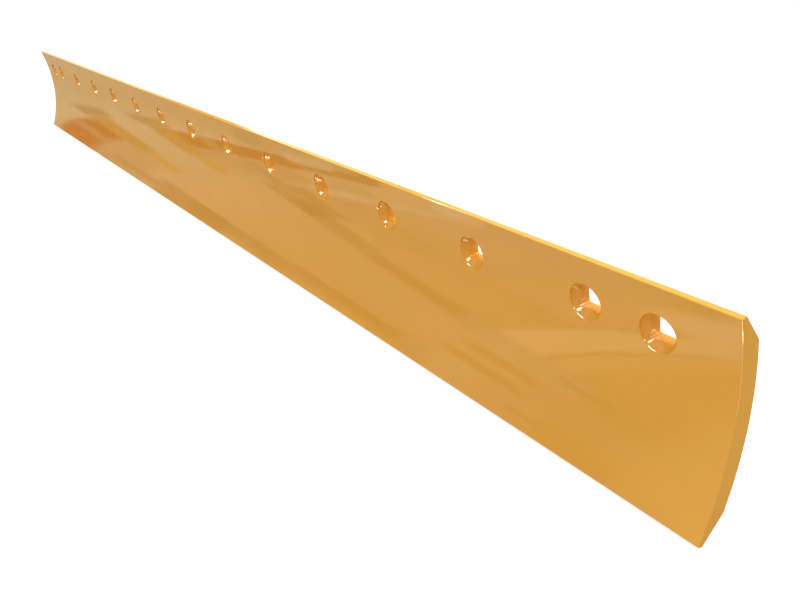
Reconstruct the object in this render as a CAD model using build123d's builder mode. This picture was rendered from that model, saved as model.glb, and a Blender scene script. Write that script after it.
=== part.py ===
from build123d import *
from math import asin, cos, degrees, radians, sin, sqrt
import os

os.makedirs("parts", exist_ok=True)

# Curved double-bevel cutting edge for the foot of a mouldboard, in millimetres and degrees.
# X runs along the blade, +Z up it, and +Y points from the hollow face to the mouldboard behind.
# The origin is the middle bolt hole's axis where it leaves the back face.

# The blade's section
face_radius = 284.0  # hollow face that meets the soil
chord = 203.2  # straight height between the two corners of the hollow face
thickness = 19.05
land = 5.5  # blunt nose left square to the face at each long edge
bevel_run = 30.7  # along the back, from the nose to the full thickness
edge_break = 1.0  # rounding of every outer edge

# The row of bolt holes along the top
bolt_pitch = 152.4
pitched_bolts = 13
end_bolt_pitch = 76.2  # from the last pitched hole to the extra hole near each end
end_margin = 74.6  # from the extra hole to the end of the blade
bolt_below_corner = 46.5  # along the hollow face, from its top corner
bolt_tilt = 7.5  # rise of the hole's axis from face to back

# Each hole takes a plough bolt: round head sunk in the face, square neck below it
head_diameter = 35.5
head_rim_depth = 2.0  # straight wall above the cone
head_cone_angle = 80.0
neck_side = 22.8
neck_corner = 3.0

# Angles about the centre of the face's curve, and the centre itself, which lies in front of the blade
back_radius = face_radius + thickness
half_angle = degrees(asin(chord / 2 / face_radius))
shoulder_angle = half_angle - degrees(bevel_run / back_radius)
hole_angle = half_angle - degrees(bolt_below_corner / face_radius)
along_axis = face_radius * cos(radians(hole_angle - bolt_tilt))
metal_at_hole = sqrt(along_axis**2 + back_radius**2 - face_radius**2) - along_axis
face_hole_y = -metal_at_hole * cos(radians(bolt_tilt))
face_hole_z = -metal_at_hole * sin(radians(bolt_tilt))
centre_y = face_hole_y - face_radius * cos(radians(hole_angle))
centre_z = face_hole_z - face_radius * sin(radians(hole_angle))

pitched_span = (pitched_bolts - 1) * bolt_pitch
end_bolt_x = pitched_span / 2 + end_bolt_pitch
length = 2 * (end_bolt_x + end_margin)

# Values that follow from those above
sawn_edge_break = edge_break * 0.9  # slightly less, so that it ends inside the long edges' rounding
pilot_radius = neck_side / 4  # round hole drilled first, well inside the square neck
clear_through = 2 * thickness  # deep enough for a cut to leave the back


def on_curve(radius, angle):
    """Point of the section at this radius and angle about the centre of the face's curve."""
    return (centre_y + radius * cos(radians(angle)), centre_z + radius * sin(radians(angle)))


with BuildPart() as cutting_edge:
    # Section: two concentric arcs, joined at each long edge by the square nose and the straight bevel
    with BuildSketch(Plane.YZ):
        with BuildLine():
            ThreePointArc(
                on_curve(face_radius, -half_angle),
                on_curve(face_radius, 0),
                on_curve(face_radius, half_angle),
            )
            Polyline(
                on_curve(face_radius, half_angle),
                on_curve(face_radius + land, half_angle),
                on_curve(back_radius, shoulder_angle),
            )
            ThreePointArc(
                on_curve(back_radius, shoulder_angle),
                on_curve(back_radius, 0),
                on_curve(back_radius, -shoulder_angle),
            )
            Polyline(
                on_curve(back_radius, -shoulder_angle),
                on_curve(face_radius + land, -half_angle),
                on_curve(face_radius, -half_angle),
            )
        make_face()
        fillet(vertices(), edge_break)
    extrude(amount=length / 2, both=True)

    # Both sawn ends
    ends = faces().filter_by(Plane.YZ)
    fillet(ends.edges(), sawn_edge_break)

    # Bolt holes: a sunk seat for the head from the face, then the square neck right through
    hole_centres = [(-end_bolt_x, 0), (end_bolt_x, 0)]
    hole_centres += [(i * bolt_pitch - pitched_span / 2, 0) for i in range(pitched_bolts)]
    towards_front = (0, -cos(radians(bolt_tilt)), -sin(radians(bolt_tilt)))
    mouth = Plane(origin=(0, face_hole_y, face_hole_z), x_dir=(1, 0, 0), z_dir=towards_front)
    with Locations(mouth.offset(-head_rim_depth)):
        with Locations(hole_centres):
            CounterSinkHole(
                radius=pilot_radius,
                counter_sink_radius=head_diameter / 2,
                depth=clear_through,
                counter_sink_angle=head_cone_angle,
            )
    with BuildSketch(mouth):
        with Locations(hole_centres):
            RectangleRounded(neck_side, neck_side, neck_corner)
    extrude(amount=clear_through, both=True, mode=Mode.SUBTRACT)

cutting_edge.part.label = "cutting_edge"
export_step(cutting_edge.part, "parts/cutting_edge.step")
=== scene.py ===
import math

import bpy
from mathutils import Matrix, Vector


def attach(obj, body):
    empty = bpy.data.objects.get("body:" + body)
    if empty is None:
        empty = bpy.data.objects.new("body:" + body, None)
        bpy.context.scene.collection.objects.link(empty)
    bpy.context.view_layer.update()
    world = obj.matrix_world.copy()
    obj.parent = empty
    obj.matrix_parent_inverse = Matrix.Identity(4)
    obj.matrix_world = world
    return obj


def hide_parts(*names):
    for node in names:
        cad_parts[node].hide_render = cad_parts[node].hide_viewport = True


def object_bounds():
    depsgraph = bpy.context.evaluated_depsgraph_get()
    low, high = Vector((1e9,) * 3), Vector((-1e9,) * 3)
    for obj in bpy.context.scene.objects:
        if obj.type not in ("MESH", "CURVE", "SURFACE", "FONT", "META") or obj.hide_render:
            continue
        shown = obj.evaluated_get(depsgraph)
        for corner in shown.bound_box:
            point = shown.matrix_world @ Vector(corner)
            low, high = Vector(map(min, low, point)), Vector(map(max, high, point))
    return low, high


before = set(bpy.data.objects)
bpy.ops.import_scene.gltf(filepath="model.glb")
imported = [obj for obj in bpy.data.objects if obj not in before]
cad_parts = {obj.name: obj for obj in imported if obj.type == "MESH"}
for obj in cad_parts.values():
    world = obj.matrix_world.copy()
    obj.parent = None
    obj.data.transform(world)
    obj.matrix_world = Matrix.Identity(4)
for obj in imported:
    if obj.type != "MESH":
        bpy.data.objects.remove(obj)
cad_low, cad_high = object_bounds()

# Lengths are in metres and angles in radians. X runs along the blade, Z up it, and -Y is the hollow face.
# The origin is the middle bolt hole's axis where it leaves the back face.

# The blade's section
face_radius = 0.284
thickness = 0.01905
chord = 0.2032  # straight height between the two corners of the hollow face
back_radius = face_radius + thickness
half_angle = math.asin(chord / 2 / face_radius)
nose_land = 0.0055  # blunt nose left square to the face at each long edge
bevel_run = 0.0307  # along the back, from the nose to the full thickness
shoulder_angle = half_angle - bevel_run / back_radius
curve_steps = 31
blade_length = 2.1304

# The row of bolt holes
bolt_tilt = math.radians(7.5)
bolt_below_corner = 0.0465
bolt_pitch = 0.1524
pitched_bolts = 13
end_bolt_x = 0.9906
hole_patch = 0.022  # half the width of the strip of blade that is cut apart round each hole

# One bolt hole: round seat sunk in the face, square neck right through
seat_radius = 0.01775
seat_rim_depth = 0.002
seat_cone_half_angle = math.radians(40)
seat_sides = 96
neck_side = 0.0228
neck_corner = 0.003
neck_corner_segments = 8
neck_start = 0.001  # below the hollow face, inside the seat
clear_of_face = 0.012

# Rounding of the edges
edge_round = 0.0009
edge_segments = 5
shoulder_round = 0.0008
shoulder_segments = 2
rim_chamfer = 0.0005
crisp_outer_turn = math.radians(40)
crisp_shoulder_turn = math.radians(15)
crisp_rim_turn = math.radians(25)
smoothest_turn = math.radians(19)  # a sharper crease than this stays crisp
flat_face_weight = 60  # above 50, large faces count for more in the shading where they meet small ones

# How far a point may lie from where it is looked for
shoulder_margin = 0.0001
rim_margin = 0.0009

# The curve's centre, worked out from where the bolt axis meets both faces
hole_angle = half_angle - bolt_below_corner / face_radius
along_axis = face_radius * math.cos(hole_angle - bolt_tilt)
metal_at_hole = math.sqrt(along_axis**2 + back_radius**2 - face_radius**2) - along_axis
mouth_y = -metal_at_hole * math.cos(bolt_tilt)
mouth_z = -metal_at_hole * math.sin(bolt_tilt)
centre_y = mouth_y - face_radius * math.cos(hole_angle)
centre_z = mouth_z - face_radius * math.sin(hole_angle)

hole_places = [-end_bolt_x, end_bolt_x]
hole_places += [(step - pitched_bolts // 2) * bolt_pitch for step in range(pitched_bolts)]

# Golden-yellow enamel. Waves are to the metre, and depths in metres.
enamel_ior = 1.5
enamel_deep = (0.765, 0.353, 0.028)
enamel_light = (0.815, 0.391, 0.036)
tone_waves = 9
gloss_waves = 60
glossiest = 0.02
dullest = 0.05
rolling_waves = 14
rolling_depth = 0.00003
orange_peel_waves = 380
orange_peel_depth = 0.000006
usual_noise = (0.3, 0.7)  # the range that nearly all of the noise falls in

# Studio. The room that the blade's gloss shows is placed by directions, in degrees.
floor_size = 60
floor_tone = (0.5, 0.5, 0.5)
floor_glow = 0.7  # added to the floor's own shade, to show it white
plain_light = 0.8  # strength of the world as a light
background_white = 1.0  # strength of the world as it is seen
mirror_level = 11.5  # below the horizon. The room is the same above and below this level.
down_to_level = -90  # low limit of a patch that reaches the mirror level with no soft edge there
all_heights = (down_to_level, 90)

# Numbers of the colour sockets on Blender's Mix node
mix_share = 0
mix_first = 6
mix_second = 7
mix_result = 2


def section_point(radius, angle):
    """A point of the section at this radius and angle about the centre of the face's curve."""
    return Vector((0, centre_y + radius * math.cos(angle), centre_z + radius * math.sin(angle)))


def deselect_objects():
    for shown in bpy.context.selected_objects:
        shown.select_set(False)


def only_active(piece):
    deselect_objects()
    piece.select_set(True)
    bpy.context.view_layer.objects.active = piece


def settle(piece):
    """Puts the object's own turn, place and scale into its mesh."""
    only_active(piece)
    bpy.ops.object.transform_apply(location=True, rotation=True, scale=True)


def edit(piece, mode="VERT"):
    only_active(piece)
    bpy.ops.object.mode_set(mode="EDIT")
    bpy.ops.mesh.select_mode(type=mode)


def leave_edit():
    bpy.ops.object.mode_set(mode="OBJECT")


def choose_edges(piece, wanted):
    """Selects the edges that the test wants, told by their ends and the turn between their two faces."""
    bpy.ops.mesh.select_all(action="DESELECT")
    leave_edit()
    mesh = piece.data
    sides = {}
    for face in mesh.polygons:
        for key in face.edge_keys:
            sides.setdefault(key, []).append(face.normal)
    for edge in mesh.edges:
        normals = sides.get(tuple(sorted(edge.vertices)), [])
        ends = [mesh.vertices[index].co for index in edge.vertices]
        if len(normals) == 2 and wanted(ends, normals[0].angle(normals[1], 0.0)):
            edge.select = True
    bpy.ops.object.mode_set(mode="EDIT")


def choose_lowest_face(piece):
    """Selects the flat face that looks straight down."""
    bpy.ops.mesh.select_all(action="DESELECT")
    leave_edit()
    lowest = min(piece.data.polygons, key=lambda face: face.normal.z)
    lowest.select = True
    bpy.ops.object.mode_set(mode="EDIT")


def apply_modifier(piece, kind, **settings):
    only_active(piece)
    modifier = piece.modifiers.new(kind.lower(), kind)
    for name, value in settings.items():
        setattr(modifier, name, value)
    bpy.ops.object.modifier_apply(modifier=modifier.name)


def roll_blade_stock():
    """Plate of full thickness, swept round the face's curve from its lower edge to its upper edge."""
    start = section_point(face_radius + thickness / 2, -half_angle)
    deselect_objects()
    bpy.ops.mesh.primitive_plane_add(size=1, location=start, rotation=(-half_angle, 0, 0))
    blade = bpy.context.object
    blade.name = "cutting_edge_blade"
    blade.scale = (blade_length, thickness, 1)
    settle(blade)
    edit(blade)
    bpy.ops.mesh.select_all(action="SELECT")
    bpy.ops.mesh.spin(
        steps=curve_steps,
        angle=-2 * half_angle,
        center=(0, centre_y, centre_z),
        axis=(1, 0, 0),
    )
    bpy.ops.mesh.select_all(action="SELECT")
    bpy.ops.mesh.normals_make_consistent(inside=False)
    leave_edit()
    return blade


def mill_bevel(blade, side):
    """Takes the back corner off the upper long edge (side 1) or the lower one (side -1)."""
    nose = section_point(face_radius + nose_land, side * half_angle)
    shoulder = section_point(back_radius, side * shoulder_angle)
    outward = (nose - shoulder).cross(Vector((1, 0, 0))) * side
    edit(blade)
    bpy.ops.mesh.select_all(action="SELECT")
    bpy.ops.mesh.bisect(
        plane_co=nose,
        plane_no=outward.normalized(),
        use_fill=True,
        clear_outer=True,
    )
    leave_edit()


def on_shoulder(ends, turn):
    """True for the two shallow edges where the bevels start on the back."""
    radii = [math.hypot(end.y - centre_y, end.z - centre_z) for end in ends]
    runs_along = abs(ends[0].x - ends[1].x) > blade_length / 2
    return runs_along and min(radii) > back_radius - shoulder_margin and turn > crisp_shoulder_turn


def on_outer_edge(ends, turn):
    return turn > crisp_outer_turn


def break_outer_edges(blade):
    """Softens the two shallow shoulders, then rounds the crisp outer edges."""
    edit(blade, "EDGE")
    choose_edges(blade, on_shoulder)
    bpy.ops.mesh.bevel(
        offset=shoulder_round,
        segments=shoulder_segments,
        affect="EDGES",
        loop_slide=False,
    )
    choose_edges(blade, on_outer_edge)
    bpy.ops.mesh.bevel(
        offset=edge_round,
        segments=edge_segments,
        affect="EDGES",
        loop_slide=False,
    )
    leave_edit()


def mark_hole_patches(blade):
    """Cuts the long strips either side of each hole, so that a hole disturbs no smooth face beyond it."""
    edit(blade)
    for place in hole_places:
        for border in (place - hole_patch, place + hole_patch):
            bpy.ops.mesh.select_all(action="SELECT")
            bpy.ops.mesh.bisect(plane_co=(border, 0, 0), plane_no=(1, 0, 0))
    leave_edit()


def turn_seat_cutter():
    """Round seat and the cone below it, about the upright axis of the hole, with the back at zero."""
    seat_floor = metal_at_hole - seat_rim_depth
    seat_height = seat_rim_depth + clear_of_face
    cone_depth = seat_radius / math.tan(seat_cone_half_angle)
    deselect_objects()
    bpy.ops.mesh.primitive_cylinder_add(
        vertices=seat_sides,
        radius=seat_radius,
        depth=seat_height,
        location=(0, 0, seat_floor + seat_height / 2),
    )
    cutter = bpy.context.object
    cutter.name = "bolt_cutter"
    settle(cutter)
    edit(cutter, "FACE")
    choose_lowest_face(cutter)
    bpy.ops.mesh.extrude_region_move(TRANSFORM_OT_translate={"value": (0, 0, -cone_depth)})
    bpy.ops.mesh.merge(type="CENTER")
    leave_edit()
    return cutter


def shape_neck_cutter():
    """Square bar with rounded corners, from inside the seat to well behind the back."""
    neck_length = 4 * thickness
    deselect_objects()
    bpy.ops.mesh.primitive_cube_add(size=1, location=(0, 0, 0))
    neck = bpy.context.object
    neck.name = "neck_cutter"
    neck.scale = (neck_side, neck_side, neck_length)
    neck.location.z = metal_at_hole - neck_length / 2 - neck_start
    settle(neck)
    edit(neck, "EDGE")
    choose_edges(neck, lambda ends, turn: abs(ends[0].z - ends[1].z) > thickness)
    bpy.ops.mesh.bevel(offset=neck_corner, segments=neck_corner_segments, affect="EDGES")
    leave_edit()
    return neck


def bore_bolt_holes(blade):
    """Cuts every hole with a copy of the one cutter, tilted to the bolt's axis."""
    cutter = turn_seat_cutter()
    neck = shape_neck_cutter()
    apply_modifier(cutter, "BOOLEAN", operation="UNION", solver="EXACT", object=neck)
    bpy.data.objects.remove(neck)
    cutter.rotation_euler.x = math.radians(90) + bolt_tilt
    settle(cutter)
    copies = []
    for place in hole_places:
        copy = cutter.copy()
        copy.data = cutter.data.copy()
        copy.location.x = place
        bpy.context.collection.objects.link(copy)
        copies.append(copy)
    bpy.data.objects.remove(cutter)
    only_active(copies[0])
    for copy in copies:
        copy.select_set(True)
    bpy.ops.object.join()
    row = bpy.context.object
    settle(row)
    apply_modifier(blade, "BOOLEAN", operation="DIFFERENCE", solver="EXACT", object=row)
    bpy.data.objects.remove(row)


def on_hole_rim(ends, turn):
    """True for every crisp edge of a bolt hole, told by its distance from the hole's axis."""
    for end in ends:
        across = min(abs(end.x - place) for place in hole_places)
        rise = end.z * math.cos(bolt_tilt) - end.y * math.sin(bolt_tilt)
        if math.hypot(across, rise) > seat_radius + rim_margin:
            return False
    return turn > crisp_rim_turn


def chamfer_hole_rims(blade):
    edit(blade, "EDGE")
    choose_edges(blade, on_hole_rim)
    bpy.ops.mesh.bevel(
        offset=rim_chamfer,
        segments=1,
        affect="EDGES",
        loop_slide=False,
        clamp_overlap=False,
    )
    leave_edit()


def make_blade():
    blade = roll_blade_stock()
    mill_bevel(blade, 1)
    mill_bevel(blade, -1)
    break_outer_edges(blade)
    mark_hole_patches(blade)
    bore_bolt_holes(blade)
    chamfer_hole_rims(blade)
    only_active(blade)
    bpy.ops.object.shade_smooth_by_angle(angle=smoothest_turn)
    apply_modifier(
        blade,
        "WEIGHTED_NORMAL",
        mode="FACE_AREA",
        weight=flat_face_weight,
        keep_sharp=True,
    )
    return blade


def feed(tree, value, socket):
    """Links another node's output to the socket, or sets it to a number or a colour."""
    if isinstance(value, bpy.types.NodeSocket):
        tree.links.new(value, socket)
    elif isinstance(value, tuple):
        socket.default_value = (*value, 1)
    else:
        socket.default_value = value


def compute(tree, operation, *values):
    node = tree.nodes.new("ShaderNodeMath")
    node.operation = operation
    for value, socket in zip(values, node.inputs):
        feed(tree, value, socket)
    return node.outputs[0]


def blend(tree, share, first, second):
    """The first colour, with this share of the second over it."""
    node = tree.nodes.new("ShaderNodeMix")
    node.data_type = "RGBA"
    feed(tree, share, node.inputs[mix_share])
    feed(tree, first, node.inputs[mix_first])
    feed(tree, second, node.inputs[mix_second])
    return node.outputs[mix_result]


def remap(tree, value, source, target=(0, 1), curve="LINEAR"):
    """The value, taken from the source range to the target range and held at its ends."""
    node = tree.nodes.new("ShaderNodeMapRange")
    node.interpolation_type = curve
    for name, limit in zip(("From Min", "From Max", "To Min", "To Max"), (*source, *target)):
        node.inputs[name].default_value = limit
    tree.links.new(value, node.inputs["Value"])
    return node.outputs["Result"]


def noise(tree, waves, detail=1):
    """Soft noise that lies on the blade itself."""
    place = tree.nodes.new("ShaderNodeTexCoord")
    texture = tree.nodes.new("ShaderNodeTexNoise")
    texture.inputs["Scale"].default_value = waves
    texture.inputs["Detail"].default_value = detail
    tree.links.new(place.outputs["Object"], texture.inputs["Vector"])
    return texture.outputs["Fac"]


def bump(tree, height, depth, under=None):
    """Bump of this depth, on top of the bump under it."""
    node = tree.nodes.new("ShaderNodeBump")
    node.inputs["Distance"].default_value = depth
    tree.links.new(height, node.inputs["Height"])
    if under:
        tree.links.new(under, node.inputs["Normal"])
    return node.outputs["Normal"]


def make_enamel():
    """Glossy golden-yellow enamel, sprayed over rolled steel."""
    enamel = bpy.data.materials.new("golden_yellow_enamel")
    enamel.use_nodes = True
    tree = enamel.node_tree
    shader = tree.nodes["Principled BSDF"]
    shader.inputs["IOR"].default_value = enamel_ior
    tone = blend(tree, noise(tree, tone_waves, detail=4), enamel_deep, enamel_light)
    tree.links.new(tone, shader.inputs["Base Color"])
    gloss = remap(tree, noise(tree, gloss_waves, detail=3), usual_noise, (glossiest, dullest))
    tree.links.new(gloss, shader.inputs["Roughness"])
    rolling = bump(tree, noise(tree, rolling_waves), rolling_depth)
    orange_peel = bump(tree, noise(tree, orange_peel_waves), orange_peel_depth, rolling)
    tree.links.new(orange_peel, shader.inputs["Normal"])
    return enamel


def white_ray_switch(tree):
    """1 for rays that show the white background: straight to the camera, mirrored, or seen through."""
    path = tree.nodes.new("ShaderNodeLightPath").outputs
    shown = compute(tree, "MAXIMUM", path["Is Camera Ray"], path["Is Glossy Ray"])
    return compute(tree, "MAXIMUM", shown, path["Is Transmission Ray"])


def lay_white_floor(height):
    """Floor that shows white and keeps the blade's shadow. The room takes its place in the gloss."""
    deselect_objects()
    bpy.ops.mesh.primitive_plane_add(size=floor_size, location=(0, 0, height))
    floor = bpy.context.object
    floor.name = "floor"
    floor.visible_glossy = False
    white = bpy.data.materials.new("white_floor")
    white.use_nodes = True
    tree = white.node_tree
    tree.nodes.clear()
    output = tree.nodes.new("ShaderNodeOutputMaterial")
    both = tree.nodes.new("ShaderNodeAddShader")
    matt = tree.nodes.new("ShaderNodeBsdfDiffuse")
    glow = tree.nodes.new("ShaderNodeEmission")
    feed(tree, floor_tone, matt.inputs["Color"])
    glow_strength = compute(tree, "MULTIPLY", white_ray_switch(tree), floor_glow)
    tree.links.new(glow_strength, glow.inputs["Strength"])
    tree.links.new(matt.outputs[0], both.inputs[0])
    tree.links.new(glow.outputs[0], both.inputs[1])
    tree.links.new(both.outputs[0], output.inputs["Surface"])
    floor.data.materials.append(white)


class MirroredRoom:
    """The room that the blade's gloss shows, built up by direction from soft-edged patches.

    Azimuth is 0 straight in front of the hollow face and 90 off the blade's right-hand end. Most
    patches are placed by their height, the angle from the mirror level, and stand on both sides of
    it. A patch that only an edge or a hole mirrors is placed by its elevation above the horizon.
    """

    def __init__(self, tree, wall):
        self.tree = tree
        self.colour = wall
        place = tree.nodes.new("ShaderNodeTexCoord")
        split = tree.nodes.new("ShaderNodeSeparateXYZ")
        tree.links.new(place.outputs["Generated"], split.inputs[0])
        forward = compute(tree, "MULTIPLY", split.outputs["Y"], -1)
        self.azimuth = compute(tree, "DEGREES", compute(tree, "ARCTAN2", split.outputs["X"], forward))
        self.elevation = compute(tree, "DEGREES", compute(tree, "ARCSINE", split.outputs["Z"]))
        self.height = compute(tree, "ABSOLUTE", compute(tree, "ADD", self.elevation, mirror_level))

    def between(self, angle, limits, softness):
        """1 between the two limits and 0 outside them, with soft edges."""
        rise, fall = (
            remap(self.tree, angle, (limit - softness, limit + softness), curve="SMOOTHSTEP")
            for limit in limits
        )
        return compute(self.tree, "SUBTRACT", rise, fall)

    def patch(self, azimuth, colour, height=None, elevation=None, softness=0.5):
        across = self.between(self.azimuth, azimuth, softness)
        if height:
            upward = self.between(self.height, height, softness)
        else:
            upward = self.between(self.elevation, elevation, softness)
        share = compute(self.tree, "MULTIPLY", across, upward)
        self.colour = blend(self.tree, share, self.colour, colour)


def paint_walls(room):
    """Dim wall behind the blade, and the wall beyond its far end."""
    dim = (0.42, 0.37, 0.3)
    room.patch((95, 200), dim, height=all_heights, softness=8)
    room.patch((-200, -150), dim, height=all_heights, softness=8)
    room.patch((-130, -76.5), (0.65, 0.58, 0.41), height=(down_to_level, 20), softness=3)
    room.patch((-78.5, -75.3), (0.38, 0.42, 0.38), height=(11.5, 14), softness=0.8)
    room.patch((-78, -71.8), (0.6, 0.57, 0.46), height=(13, 18.5), softness=1)


def light_the_level(room):
    """Pale band at the mirror level, along the middle of the face."""
    room.patch((-66, -50), (0.97, 0.82, 0.62), height=(down_to_level, 5), softness=3)
    room.patch((-53, 40), (1.06, 0.99, 0.83), height=(down_to_level, 4), softness=4)
    room.patch((-48, -38), (1.3, 1.08, 0.86), height=(down_to_level, 5), softness=1.5)


def warm_the_left(room):
    """Warm side wall, above and below the pale band."""
    room.patch((-73, -66), (1.02, 0.93, 0.72), height=(20, 27), softness=1)
    room.patch((-67, -56), (0.74, 0.63, 0.51), height=(12, 22), softness=1)
    room.patch((-67, -56), (0.93, 0.77, 0.6), height=(18, 23), softness=1)
    room.patch((-66, -50), (1.03, 0.89, 0.75), height=(22, 40), softness=2)
    room.patch((-53, -45), (1.38, 1.0, 0.77), height=(21, 40), softness=1)
    room.patch((-56.5, -44), (1.12, 0.81, 0.58), height=(10.2, 21), softness=1)
    room.patch((-51, -44), (1.3, 0.92, 0.63), height=(10.2, 17), softness=2)


def open_the_front(room):
    """Bright front of the room, which the near part of the face mirrors."""
    room.patch((-39, 40), (1.18, 0.83, 0.64), height=(9, 14), softness=1)
    room.patch((-39, 40), (1.7, 1.03, 0.66), height=(14, 90), softness=1)
    room.patch((-28.5, 10), (2.1, 1.55, 1.02), height=all_heights, softness=3)
    room.patch((-51, -37), (2.1, 1.7, 1.35), height=(35, 90), softness=2)


def hang_ceiling(room):
    """Bright ceiling with one dark beam, which the long top edge mirrors."""
    room.patch((-150, -107), (2.1, 2.0, 1.6), elevation=(39, 70), softness=2)
    room.patch((-106, -84), (2.0, 1.9, 1.4), elevation=(27, 60), softness=1)
    room.patch((-106, -84), (1.45, 1.35, 1.0), elevation=(8, 18.5), softness=1)
    room.patch((-106, -84), (0.3, 0.28, 0.22), elevation=(20, 25), softness=1)
    room.patch((-102.5, -100), (3.5, 3.4, 2.9), elevation=(25, 28.5), softness=0.8)


def hang_small_lamps(room):
    """Small lamps, which make the sparkles on the near edge, on the top edge and in the bolt holes."""
    lamp_white = (40, 37, 29)
    room.patch((5, 40), (80, 72, 55), elevation=(-58, -55.4), softness=0.4)
    room.patch((0, 40), (6, 5, 3.5), elevation=(-55, -36), softness=1)
    room.patch((38, 52), (12, 8, 4.2), elevation=(-76.5, -71), softness=0.6)
    room.patch((-30, 30), lamp_white, elevation=(34, 40.5), softness=0.6)
    room.patch((134, 141), lamp_white, elevation=(34, 50), softness=1)
    room.patch((-95, -76), (160, 145, 110), elevation=(40.5, 42.3), softness=0.4)


def stand_red_pillar(room):
    """Red pillar on an olive base, mirrored low down near the far end."""
    room.patch((-71.8, -68.2), (0.6, 0.54, 0.44), height=(4.3, 14), softness=0.8)
    room.patch((-74.2, -71.6), (0.42, 0.02, 0.1), height=(3.5, 15), softness=0.3)
    room.patch((-74.2, -71.6), (0.5, 0.28, 0.24), height=(6.5, 7.9), softness=0.3)
    room.patch((-74.1, -72.0), (0.35, 0.18, 0.2), height=(15, 22), softness=0.3)
    room.patch((-75.5, -73.2), (0.89, 0.91, 0.75), height=(14.5, 18.5))
    room.patch((-75.9, -74.6), (0.3, 0.32, 0.28), height=(1.2, 4.5))
    room.patch((-74.6, -70), (0.55, 0.36, 0.2), height=(2.0, 4.3))
    room.patch((-70, -67.5), (0.77, 0.56, 0.3), height=(2.4, 4.3))


def stand_dark_bench(room):
    """Dark bench and what stands on it, mirrored as the long dark streaks."""
    room.patch((-67, -56), (0.35, 0.37, 0.39), height=(7.0, 10.0), softness=0.3)
    room.patch((-70.5, -67), (0.33, 0.38, 0.37), height=(8.6, 10), softness=0.3)
    room.patch((-56, -46.5), (0.34, 0.3, 0.38), height=(6.4, 9.2), softness=0.5)
    room.patch((-67, -61.5), (0.4, 0.3, 0.28), height=(10, 12), softness=0.3)
    room.patch((-64.2, -61.5), (0.05, 0.16, 0.24), height=(7.2, 10.2), softness=0.3)


def stand_pale_pillars(room):
    """Pale pillars, mirrored as the slanting light streaks."""
    room.patch((-68.2, -66.5), (1.12, 1.08, 0.92), height=(13, 29))
    room.patch((-72.5, -68), (1.4, 1.4, 1.2), height=(25.5, 30), softness=0.8)
    room.patch((-46.5, -43.8), (0.62, 0.84, 0.85), height=(4.8, 9.5), softness=0.6)
    room.patch((-40.5, -35), (0.95, 1.06, 0.92), height=(3, 10), softness=0.8)
    room.patch((-37.5, -33), (0.3, 0.62, 0.6), height=(6.9, 8), softness=0.4)
    room.patch((-44.1, -40.3), (1.05, 1.2, 1.1), height=(3.6, 9.8))
    room.patch((-44.1, -40.3), (2.4, 1.82, 1.25), height=(9.8, 18.5), softness=0.3)
    room.patch((-44.1, -40.3), (2.12, 1.68, 1.24), height=(18.5, 60), softness=0.3)
    room.patch((-39.7, -37.6), (1.8, 1.3, 0.85), height=(9.8, 60), softness=0.3)
    room.patch((-44, -37.5), (0.56, 0.67, 0.6), height=(1.1, 3.4))


def make_world():
    """White background and plain light, with the room for the blade's gloss alone."""
    world = bpy.data.worlds.new("white_studio")
    bpy.context.scene.world = world
    world.use_nodes = True
    tree = world.node_tree
    background = tree.nodes["Background"]
    room = MirroredRoom(tree, wall=(0.80, 0.76, 0.60))
    paint_walls(room)
    light_the_level(room)
    warm_the_left(room)
    open_the_front(room)
    hang_ceiling(room)
    hang_small_lamps(room)
    stand_red_pillar(room)
    stand_dark_bench(room)
    stand_pale_pillars(room)
    mirrored = tree.nodes.new("ShaderNodeLightPath").outputs["Is Glossy Ray"]
    white = (1, 1, 1)
    tree.links.new(blend(tree, mirrored, white, room.colour), background.inputs["Color"])
    strength = remap(tree, white_ray_switch(tree), (0, 1), (plain_light, background_white))
    tree.links.new(strength, background.inputs["Strength"])


def hang_softbox(name, place, aim, width, height, watts):
    """Soft lamp that lights the blade but isn't mirrored in it."""
    light = bpy.data.lights.new(name, "AREA")
    light.shape = "RECTANGLE"
    light.size = width
    light.size_y = height
    light.energy = watts
    softbox = bpy.data.objects.new(name, light)
    bpy.context.collection.objects.link(softbox)
    softbox.location = place
    softbox.rotation_euler = (Vector(aim) - Vector(place)).to_track_quat("-Z", "Y").to_euler()
    softbox.visible_glossy = False


def place_camera():
    """Camera at the photograph's viewpoint."""
    camera_place = Vector((1.33549, -0.52186, 0.28387))
    camera_aim = Vector((0.400, 0.0802, -0.1997))
    camera_roll = math.radians(-1.107)
    view = bpy.data.cameras.new("camera")
    view.lens = 35.231
    view.shift_x = 0.04671
    view.shift_y = -0.01078
    camera = bpy.data.objects.new("camera", view)
    bpy.context.collection.objects.link(camera)
    turn = (camera_aim - camera_place).to_track_quat("-Z", "Y").to_matrix().to_4x4()
    roll = Matrix.Rotation(camera_roll, 4, "Z")
    camera.matrix_world = Matrix.Translation(camera_place) @ turn @ roll
    bpy.context.scene.camera = camera


place_camera()
blade = make_blade()
blade.data.materials.clear()
blade.data.materials.append(make_enamel())
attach(blade, "root")
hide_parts("cutting_edge")
make_world()
lay_white_floor(cad_low.z)
hang_softbox("overhead_softbox", place=(0.3, 0.4, 2.2), aim=(0.3, 0, 0), width=3.0, height=1.2, watts=45)
hang_softbox("front_softbox", place=(1.6, -4.4, 4.0), aim=(0.3, 0, 0), width=1.0, height=0.6, watts=30)
hang_softbox("back_softbox", place=(4.1, 3.9, 3.6), aim=(0.6, 0, 0), width=0.8, height=0.6, watts=40)
bpy.context.scene.view_settings.view_transform = "Standard"
